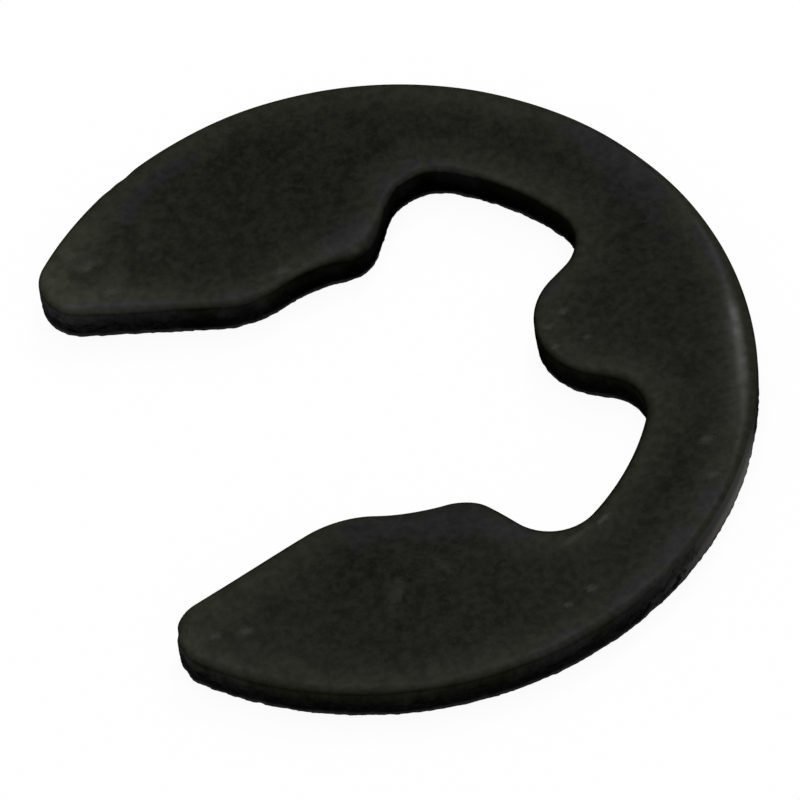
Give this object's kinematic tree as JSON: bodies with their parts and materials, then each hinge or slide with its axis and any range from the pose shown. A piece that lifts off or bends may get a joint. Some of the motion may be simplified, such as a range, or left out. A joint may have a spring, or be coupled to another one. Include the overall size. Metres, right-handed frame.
{
  "type": "e-clip retaining ring",
  "caption": "Flat spring-steel E-clip that snaps sideways into a shaft groove and holds a wheel, lever or washer in place along the shaft.",
  "frame": {"origin": "on the axis of the shaft that the clip grips, at the clip's lower face", "axes": "+Z along the shaft and up through the clip as it lies flat, -X out through the mouth between the arms, +X towards the back of the rim and the middle prong"},
  "size_m": [0.0097, 0.011, 0.0006],
  "materials": {
    "blackened_steel": "matt black oxide on spring steel, lightly oiled, a little mottled and rubbed along the rolled edges"
  },
  "bodies": {
    "root": {"e_clip": "blackened_steel"}
  },
  "joints": []
}
